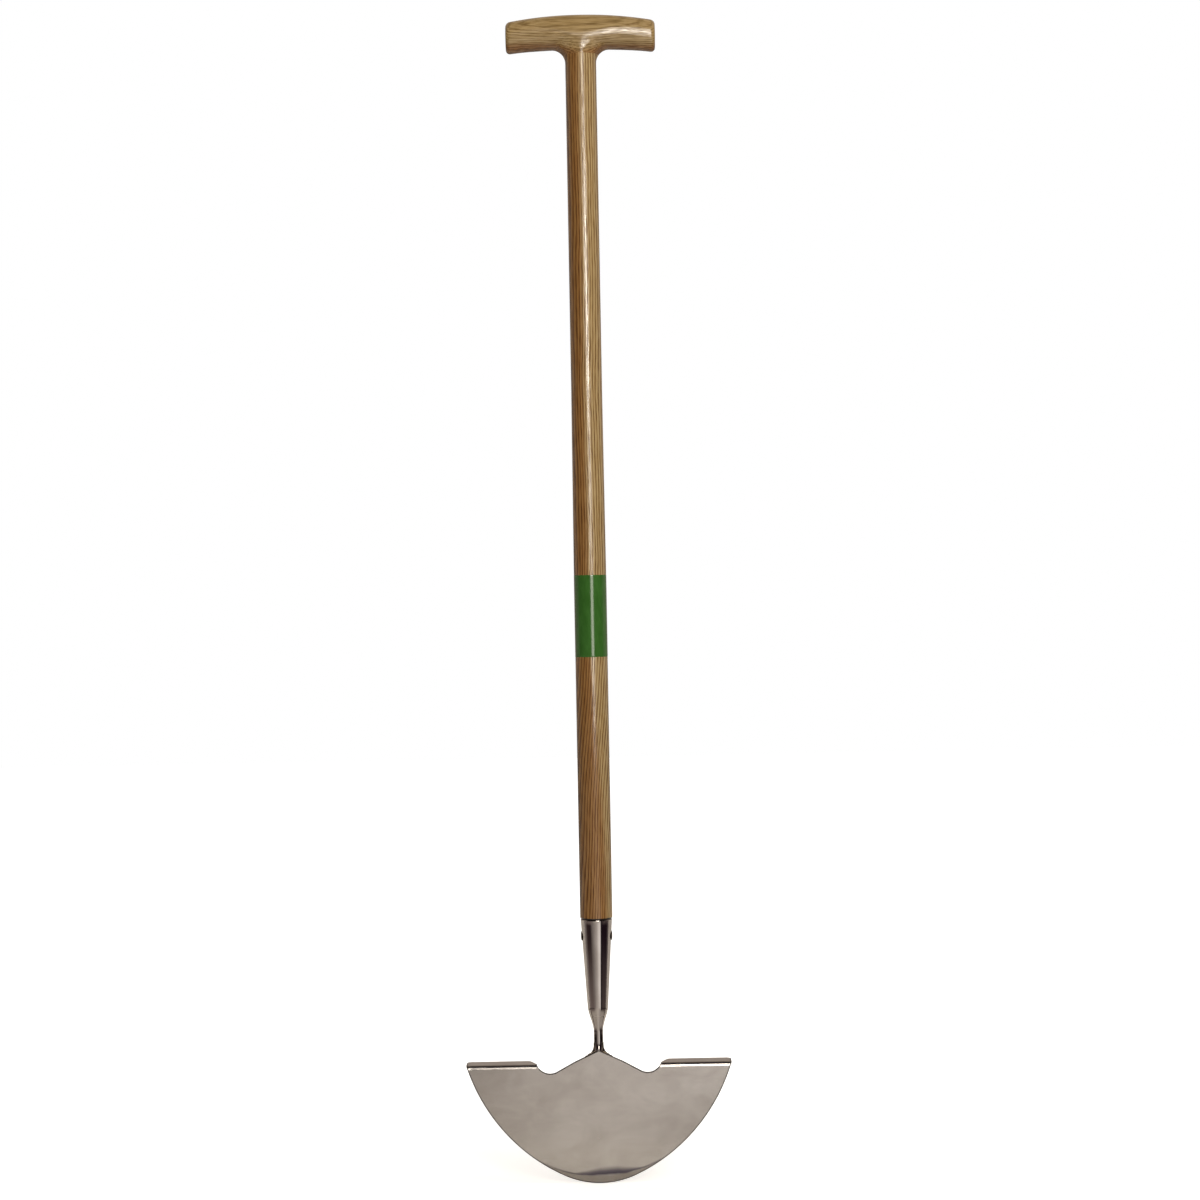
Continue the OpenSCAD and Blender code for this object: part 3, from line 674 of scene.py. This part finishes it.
def new_tree(name, floats):
    """an empty Geometry Nodes tree with a mesh in, a mesh out, and named numbers"""
    tree = bpy.data.node_groups.new(name, "GeometryNodeTree")
    tree.interface.new_socket("Mesh", in_out="OUTPUT", socket_type="NodeSocketGeometry")
    tree.interface.new_socket("Mesh", in_out="INPUT", socket_type="NodeSocketGeometry")
    for label, size in floats.items():
        socket = tree.interface.new_socket(label, in_out="INPUT", socket_type="NodeSocketFloat")
        socket.default_value = size
    put = partial(add_node, tree)
    return tree, put, put("NodeGroupInput").node.outputs


def hand_out(put, shapes, material):
    """ends a tree: what it has placed becomes one smooth mesh of a material"""
    real = put("GeometryNodeRealizeInstances", {"Geometry": shapes})
    coloured = put("GeometryNodeSetMaterial", {"Geometry": real, "Material": material})
    smooth = put("GeometryNodeSetShadeSmooth", {"Geometry": coloured})
    put("NodeGroupOutput", {0: smooth})


def grown(name, tree, points, edges, sizes):
    """the plain mesh that a tree makes from a few points, with its inputs set by identifier"""
    seed = bpy.data.meshes.new(name + "_seed")
    seed.from_pydata([Vector(p) * 0.001 for p in points], edges, [])
    holder = bpy.data.objects.new(name + "_seed", seed)
    scene.collection.objects.link(holder)
    modifier = holder.modifiers.new("grow", "NODES")
    modifier.node_group = tree
    for item in tree.interface.items_tree:
        if item.in_out == "INPUT" and item.name in sizes:
            modifier[item.identifier] = sizes[item.name]
    made = bpy.data.meshes.new_from_object(holder.evaluated_get(bpy.context.evaluated_depsgraph_get()))
    bpy.data.objects.remove(holder)
    made.name = name
    made.shade_smooth()
    return made


tree, put, given = new_tree("rivet_heads", HEAD)
width, bulge = (given[k] for k in HEAD)
# A head is a ball squashed to its rise; the part below the seat is sunk in the socket's wall.
ball = put("GeometryNodeMeshUVSphere", {"Segments": 40, "Rings": 24, "Radius": 0.5})
tall = put("Math", {0: bulge, 1: 2.0}, operation="MULTIPLY")
size = put("CombineXYZ", {"X": width, "Y": width, "Z": tall})
head = put("GeometryNodeTransform", {"Geometry": ball, "Scale": size})
outward = put("GeometryNodeInputPosition")
level = put("VectorMath", {0: outward, 1: (1, 1, 0)}, operation="MULTIPLY")
turn = put("FunctionNodeAlignRotationToVector", {"Vector": level}, axis="Z")
copies = put("GeometryNodeInstanceOnPoints", {"Points": given[0], "Instance": head, "Rotation": turn})
hand_out(put, copies, polished)
heads = grown("rivet_heads", tree, [(SEAT + 0.1, 0, RIVET_Z), (-SEAT - 0.1, 0, RIVET_Z)], [], HEAD)
set_in_place("rivet_heads", heads, "socket_rivet")

# %% [markdown]
# ## Blade
# The blade is one sheet, cut flat, then folded back along two lines into treads. It is drawn the same
# way: the outline is laid out flat, with the height running on over the fold, it is filled with
# triangles, and every point is then bent round the fold. The cut edge gets its own rounded strip, with
# a support row beside it, so that the flat face shades flat right up to the edge.

# %% Outline of the flat sheet
TREAD_Z, TREAD_RUN, FOLD_R, SHEET = 105.5, 16.0, 4.0, 2.0
FOLD_Z = TREAD_Z - FOLD_R
FOLD_RUN = FOLD_R * pi / 2
HALF, NOSE_R, NOSE = 117.1, 75.0, 25.0
nose_end = NOSE_R * np.array([sin(radians(NOSE)), 1 - cos(radians(NOSE))])
normal = np.array([-sin(radians(NOSE)), cos(radians(NOSE))])
chord = np.array([HALF, TREAD_Z]) - nose_end
flank_r = chord @ chord / (2 * chord @ normal)
flank_c = nose_end + flank_r * normal
NOTCH_R, NOTCH_X, NOTCH_DEPTH = 12.5, 43.0, 8.2
NOTCH_Z = TREAD_Z - NOTCH_DEPTH
notch_c = np.array([NOTCH_X, NOTCH_Z + NOTCH_R])
slant = asin(1 - NOTCH_DEPTH / NOTCH_R)
bend = np.array([NOTCH_X / 2, NOTCH_Z + 0.505 * (APEX_Z - NOTCH_Z)])
reach = notch_c - bend
gable_foot = degrees(asin(NOTCH_R / np.linalg.norm(reach)) - atan2(reach[1], reach[0]))


def angle_of(height, centre, radius):
    """angle of the point of a circle at a height"""
    return degrees(asin((height - centre[1]) / radius))


def rounded(before, corner, after, radius, steps=6):
    """arc that eases a corner"""
    before, corner, after = (np.asarray(p, float) for p in (before, corner, after))
    u = (before - corner) / np.linalg.norm(before - corner)
    v = (after - corner) / np.linalg.norm(after - corner)
    half = acos(u @ v) / 2
    centre = corner + (u + v) / np.linalg.norm(u + v) * radius / sin(half)
    start, end = (np.degrees(np.arctan2(*(corner + way * radius / tan(half) - centre)[::-1]))
                  for way in (u, v))
    turn = (end - start + 540) % 360 - 180
    return arc(centre, radius, start, start + turn, steps)


def over_fold(line):
    """heights in the fold become lengths along its outside"""
    heights = np.clip((line[:, 1] - FOLD_Z) / FOLD_R, 0, 1)
    run = np.where(line[:, 1] > FOLD_Z, FOLD_Z + FOLD_R * np.arcsin(heights), line[:, 1])
    return np.stack([line[:, 0], run], 1)


outer_end = over_fold(arc(flank_c, flank_r, NOSE - 90 + 0.5, angle_of(TREAD_Z, flank_c, flank_r), 130))
inner_end = over_fold(arc(notch_c, NOTCH_R, angle_of(TREAD_Z, notch_c, NOTCH_R), -90 - gable_foot, 34))
FLAT_TOP = FOLD_Z + FOLD_RUN
BACK = FLAT_TOP + TREAD_RUN
corner = (notch_c[0] + NOTCH_R * cos(slant) + TREAD_RUN * tan(slant), BACK)
half_outline = np.vstack([
    arc((0, NOSE_R), NOSE_R, -90, NOSE - 90, 40),
    outer_end,
    rounded((HALF, FLAT_TOP), (HALF, BACK), corner, 4.5, 8),
    spread([(HALF - 5.2, BACK), (corner[0] + 4.5, BACK)], 34)[1:-1],
    rounded((HALF, BACK), corner, inner_end[0], 5.0, 8),
    inner_end,
    rounded(inner_end[-1], bend, (0, APEX_Z), 70, 6),
    spread([bend + (-5.5, 5.5 * GABLE), (0, APEX_Z)], 14),
])
outline = np.vstack([half_outline, (half_outline * (-1, 1))[-2:0:-1]])
steps = np.linalg.norm(np.roll(outline, -1, 0) - outline, axis=1)
print("outline:", len(outline), "points, steps up to", round(steps.max(), 2), "mm")

# %% Blade
def inset(loop, distance):
    """the loop drawn in by a distance"""
    along = np.roll(loop, -1, 0) - np.roll(loop, 1, 0)
    along /= np.linalg.norm(along, axis=1, keepdims=True)
    return loop + distance * np.stack([-along[:, 1], along[:, 0]], 1)


def ground(flat_places):
    """how deep grinding has cut into the front: nothing inside the line, 1.4 mm at the tip"""
    away = np.hypot(flat_places[:, 0], flat_places[:, 1] - GRIND_Z) - GRIND_R
    return np.where(flat_places[:, 1] < 40, np.clip(away / 5.0, 0, 1.4), 0)


def folded(flat_places, share):
    """bends flat places round the folds; share is the depth in the sheet, 0 in front and 1 behind"""
    depth = ground(flat_places)
    depth = depth + (SHEET - depth) * share
    x, run = flat_places[:, 0], flat_places[:, 1] - FOLD_Z
    tread = np.abs(x) > NOTCH_X
    a = np.where(tread, np.clip(run / FOLD_R, 0, pi / 2), 0)
    past = np.where(tread, np.maximum(run - FOLD_RUN, 0), 0)
    y = BLADE_FRONT + FOLD_R - (FOLD_R - depth) * np.cos(a) + past
    z = FOLD_Z + (FOLD_R - depth) * np.sin(a) + np.where(tread, np.minimum(run, 0), run)
    return np.stack([x, y, z], 1)


STRIP = 1.2
strips = [(STRIP, 0), (0.55, 0), (0.3, 0.03), (0.12, 0.09), (0.03, 0.17), (0, 0.27)]
strips += [(d, 1 - s) for d, s in strips[::-1]]
count = len(outline)
points = np.vstack([folded(inset(outline, d), np.full(count, s)) for d, s in strips])
faces = grid_faces(len(strips), count)
rim = inset(outline, STRIP)
cut = np.repeat([1.0 if d < 1 else 0.0 for d, s in strips], count)
fold_rows = FOLD_Z + np.concatenate(
    [[-2, -0.7], np.linspace(0, FOLD_RUN, 11), [FOLD_RUN + 0.7, FOLD_RUN + 2]])
places = [(x, z) for x in np.arange(-116, 116.1, 4) for z in np.arange(2, 99, 4)]
places += [(x, z) for x in np.arange(-116, 116.1, 3) for z in fold_rows]
places += [(x, z) for x in np.arange(-116, 116.1, 4) for z in np.arange(FOLD_Z + FOLD_RUN + 5, BACK, 3)]
grind = np.vstack([arc((0, GRIND_Z), r, -150, -30, 160) for r in (116.3, GRIND_R, 117.7, 119.5, 121.5)])
places = np.vstack([places, grind])
clear = np.min(np.linalg.norm(places[:, None] - rim[None], axis=2), axis=1) > 0.8
near_grind = np.abs(np.hypot(places[:, 0], places[:, 1] - GRIND_Z) - GRIND_R) < 2.2
near_grind[-len(grind):] = False
places = places[clear & inside(places, rim) & ~near_grind]
flat, triangles = filled(rim, places, True)
for share in (0, 1):
    start = len(points)
    points = np.vstack([points, folded(flat, np.full(len(flat), share))])
    faces += [tuple(start + t[::-1] if share else start + t) for t in triangles]
cut = np.concatenate([cut, np.zeros(len(points) - len(cut))])
make_piece("satin_blade", points, faces, satin, "blade", corner=50, cut=cut)

# %% [markdown]
# ## Weld beads
# A weld bead is a row of overlapping ripples, one for each pulse of the torch. Ripples repeat along a
# path, which is what Geometry Nodes are for: the tree lays a core along the path, sets flat, tilted
# drops on it at an even spacing, and turns the lot into one mesh. Seed, spacing and size are inputs.

# %% Welds
BEAD = {"Bead Radius": 0.0016, "Ripple Spacing": 0.0011, "Seed": 7.0}
tree, put, given = new_tree("weld_ripples", BEAD)
radius, spacing, seed = (given[k] for k in BEAD)
path = put("GeometryNodeMeshToCurve", {"Mesh": given[0]})
marks = put("GeometryNodeCurveToPoints", {"Curve": path, "Length": spacing}, mode="LENGTH")
drop = put("GeometryNodeMeshUVSphere", {"Segments": 20, "Rings": 12, "Radius": 1.0})
thin = put("GeometryNodeTransform", {"Geometry": drop, "Rotation": (0.45, 0, 0), "Scale": (1, 1, 0.62)})
whole = put("FunctionNodeFloatToInt", {0: seed})
vary = put("FunctionNodeRandomValue", {2: 0.9, 3: 1.06, "Seed": whole}, data_type="FLOAT")
size = put("Math", {0: radius, 1: vary}, operation="MULTIPLY")
ripples = put("GeometryNodeInstanceOnPoints", {
    "Points": marks, "Instance": thin, "Rotation": marks.node.outputs["Rotation"], "Scale": size})
slim = put("Math", {0: radius, 1: 0.86}, operation="MULTIPLY")
round_bar = put("GeometryNodeCurvePrimitiveCircle", {"Resolution": 20, "Radius": slim}, mode="RADIUS")
core = put("GeometryNodeCurveToMesh", {"Curve": path, "Profile Curve": round_bar, "Fill Caps": True})
bead = put("GeometryNodeJoinGeometry", {0: core})
fill(bead.node, {0: ripples})
hand_out(put, bead, weld)

foot_side = [(foot_half(z) + 0.1, BLADE_BACK + 0.1, z)
             for z in np.linspace(FOOT_TOP - 0.8, FOOT_TIP + 1.5, 40)]
toe = [(x, BLADE_BACK - 0.25, APEX_Z - x * GABLE + 0.15) for x in np.linspace(4.4, 9.4, 8)]
for name, line, sizes in (("weld_back", foot_side, (0.0014, 0.0010, 7.0)),
                          ("weld_front", toe, (0.0009, 0.0008, 3.0))):
    for side, sign in (("left", -1), ("right", 1)):
        path = [(sign * x, y, z) for x, y, z in line]
        steps = [(i, i + 1) for i in range(len(path) - 1)]
        mesh = grown(f"{name}_{side}_bead", tree, path, steps, dict(zip(BEAD, sizes)))
        set_in_place(f"{name}_{side}_bead", mesh, f"{name}_{side}")

# %% [markdown]
# ## Floor, light and surroundings
# The tool stands on a plain pale floor in front of white. A tall soft lamp beside the camera draws the
# bright line down the varnish. A short one makes its middle stronger, and a faint one widens it to the
# left. Wide lamps on the right and behind fill in, but no reflection shows them. Polished metal shows
# the room more than the lamps, so the room matters: pale behind, dark above, and in front a graded
# board, which only reflections see. It is the photographer's way to give a round, bright bar its dark
# bands.

# %% Floor
def instead(shader, other):
    """puts another shader in the place of a material's own"""
    shader.id_data.links.new(other, shader.outputs[0].links[0].to_socket)
    shader.id_data.nodes.remove(shader)


# Pale matt floor that the camera sees as white, with the tool's soft shadow left on it.
floor_paper, put, place, shader = new_material("matt_floor")
away = put("VectorMath", {0: place}, operation="LENGTH")
rays = put("LightPath").node.outputs
# Matt pieces see a darker floor, so that little light comes up from below.
paper = put("Mix", {0: rays["Is Diffuse Ray"], 6: "#E6E2DC", 7: "#948F8A"}, data_type="RGBA")
matt = put("BsdfDiffuse", {"Color": paper})
level = put("MapRange", {0: away, 1: 0.1, 2: 0.8, 3: 0.55, 4: 1.0})
white = put("Emission", {"Color": (1, 1, 1, 1), "Strength": level})
both = put("AddShader", {0: matt, 1: white})
mixed = put("MixShader", {0: rays["Is Camera Ray"], 1: matt, 2: both})
instead(shader, mixed)


def stage_sheet(name, points, faces, material):
    """one sheet of the studio, which is not part of the tool"""
    mesh = bpy.data.meshes.new(name)
    mesh.from_pydata(points, [], faces)
    mesh.materials.append(material)
    sheet = bpy.data.objects.new(name, mesh)
    scene.collection.objects.link(sheet)
    return sheet


FLOOR_Z = -0.0005
corners = [(x, y, FLOOR_Z) for x, y in ((-6, -6), (6, -6), (6, 6), (-6, 6))]
stage_sheet("floor", corners, [(0, 1, 2, 3)], floor_paper)

# %% Graded board
BOARD_ANGLE = 105
# Paper whose tone changes with the direction from the tool: light in front, dark to both sides.
board_paper, put, place, shader = new_material("graded_paper")
axes = put("SeparateXYZ", {0: place}).node.outputs
front = put("Math", {0: axes["Y"], 1: -1.0}, operation="MULTIPLY")
angle = put("Math", {0: axes["X"], 1: front}, operation="ARCTAN2")
share = put("MapRange", {0: angle, 1: -radians(BOARD_ANGLE), 2: radians(BOARD_ANGLE)})
tone = put("ValToRGB", {0: share}, stops=[
    (0.0, "#A09894"), (0.14, "#3A2B2B"), (0.27, "#2C2023"), (0.37, "#8E8682"), (0.5, "#C4BCB6"),
    (0.59, "#FFFAF5"), (0.635, "#FFFAF5"), (0.66, "#1E131C"), (0.9, "#241920"), (1.0, "#7D7571")])
away = put("VectorMath", {0: place}, operation="LENGTH")
# At the sides the board is lighter near the tool, so that the socket's dark bands fade downwards.
sides = put("ValToRGB", {0: share}, stops=[(0.32, 0.58), (0.38, 0.0), (0.67, 0.0), (0.76, 0.26)])
pale = put("MapRange", {0: away, 1: 0.64, 2: 0.46})
pale = put("Math", {0: sides, 1: pale}, operation="MULTIPLY")
tone = put("Mix", {0: pale, 6: tone, 7: "#9A8C86"}, data_type="RGBA")
# Close to the tool it fades into the tone of the floor, in front sooner than at the sides.
off = put("Math", {0: angle}, operation="ABSOLUTE")
start = put("MapRange", {0: off, 1: 0.4, 2: 0.6, 3: 0.5, 4: 0.34})
end = put("Math", {0: start, 1: 0.12}, operation="SUBTRACT")
near = put("MapRange", {0: away, 1: start, 2: end, 4: 0.95})
floor = put("ValToRGB", {0: share}, stops=[(0.38, "#B8AFA4"), (0.5, "#D4CCC3"), (0.62, "#B4ACA4")])
tone = put("Mix", {0: near, 6: tone, 7: floor}, data_type="RGBA")
glow = put("Emission", {"Color": tone, "Strength": 1.0})
instead(shader, glow)


def dark_paper(name, tones):
    """unlit paper for a card that only reflections see"""
    material, put, place, shader = new_material(name)
    fibre = put("TexNoise", {"Vector": place, "Scale": 60})
    tone = put("ValToRGB", {0: fibre}, stops=list(zip((0.3, 0.7), tones)))
    # Its upper edge fades, so that no hard line shows where the neck widens.
    height = put("SeparateXYZ", {0: place}, out="Z")
    fade = put("MapRange", {0: height, 1: 0.0972, 2: 0.0992})
    tone = put("Mix", {0: fade, 6: tone, 7: "#8C827A"}, data_type="RGBA")
    glow = put("Emission", {"Color": tone, "Strength": 1.0})
    instead(shader, glow)
    return material


def curved_sheet(name, start, end, columns, rows, material):
    """a sheet bent round the tool, from one angle to another, that only reflections see"""
    sweep = np.radians(np.linspace(start, end, columns))
    points = [(r * sin(a), -r * cos(a), z) for r, z in rows for a in sweep]
    corners = [c for c in range((len(rows) - 1) * columns) if c % columns < columns - 1]
    faces = [(c, c + 1, c + columns + 1, c + columns) for c in corners]
    sheet = stage_sheet(name, points, faces, material)
    sheet.visible_camera = sheet.visible_diffuse = False
    sheet.visible_shadow = sheet.visible_transmission = False


curved_sheet("graded_board", -BOARD_ANGLE, BOARD_ANGLE, 43, [(0.14, 0.002), (0.35, 0.009), (1.0, 0.13)],
             board_paper)
# The neck is a few pixels wide: two dark cards give it its own bands. They slope so that the socket
# sees them edge-on.
CARD = [(0.2, 0.0985), (0.2, 0.088), (0.33, 0.0477)]
curved_sheet("left_card", -122, -40, 16, CARD, dark_paper("left_card_paper", ("#150E0F", "#1D1516")))
curved_sheet("right_card", 42, 128, 16, CARD, dark_paper("right_card_paper", ("#0E0809", "#140C0E")))

# %% Lamps
def soft_lamp(name, angle, away, height, size, energy):
    """a soft lamp, at an angle to the right of the camera, that points at the tool"""
    light = bpy.data.lights.new(name, "AREA")
    light.shape = "RECTANGLE"
    light.size, light.size_y = size
    light.energy = energy
    light.color = linear("#FFF8EE")[:3]
    lamp = bpy.data.objects.new(name, light)
    lamp.location = (away * sin(radians(angle)), -away * cos(radians(angle)), height)
    lamp.rotation_euler = (Vector((0, 0, 0.7)) - lamp.location).to_track_quat("-Z", "Y").to_euler()
    scene.collection.objects.link(lamp)
    return lamp


soft_lamp("strip_lamp", 11.6, 2.0, 1.02, (0.66, 1.5), 22)
soft_lamp("strip_core", 12.8, 1.98, 1.04, (0.5, 0.38), 6.8)
soft_lamp("strip_edge", -3.0, 2.0, 1.3, (0.2, 0.8), 1.1)
wide = soft_lamp("fill_lamp", 60, 1.2, 2.3, (1.4, 1.4), 16)
rear = soft_lamp("back_lamp", 205, 1.6, 1.9, (1.4, 1.4), 15)
wide.visible_glossy = rear.visible_glossy = False

# %% Surroundings
world = bpy.data.worlds.new("studio")
scene.world = world
world.use_nodes = True
world.node_tree.nodes.clear()
put = partial(add_node, world.node_tree)
way = put("TexCoord", out="Generated")
parts = put("SeparateXYZ", {0: way}).node.outputs
behind = put("MapRange", {0: parts["Y"], 1: -0.1, 2: 0.2})
low = put("MapRange", {0: parts["Z"], 1: 0.955, 2: 0.9})
backdrop = put("Math", {0: behind, 1: low}, operation="MULTIPLY")
room = put("Mix", {0: backdrop, 6: "#1E1719", 7: "#AB9F95"}, data_type="RGBA")
rays = put("LightPath").node.outputs
seen = put("Math", {0: rays["Is Camera Ray"], 1: rays["Is Transmission Ray"]}, operation="MAXIMUM")
plain = put("Background", {"Color": "#FFFDFA", "Strength": 0.26})
shiny = put("Background", {"Color": room, "Strength": 1})
white = put("Background", {"Color": (1, 1, 1, 1), "Strength": 1})
first = put("MixShader", {0: rays["Is Glossy Ray"], 1: plain, 2: shiny})
last = put("MixShader", {0: seen, 1: first, 2: white})
put("OutputWorld", {"Surface": last})
print("stage set: floor, graded board, two cards, five lamps")
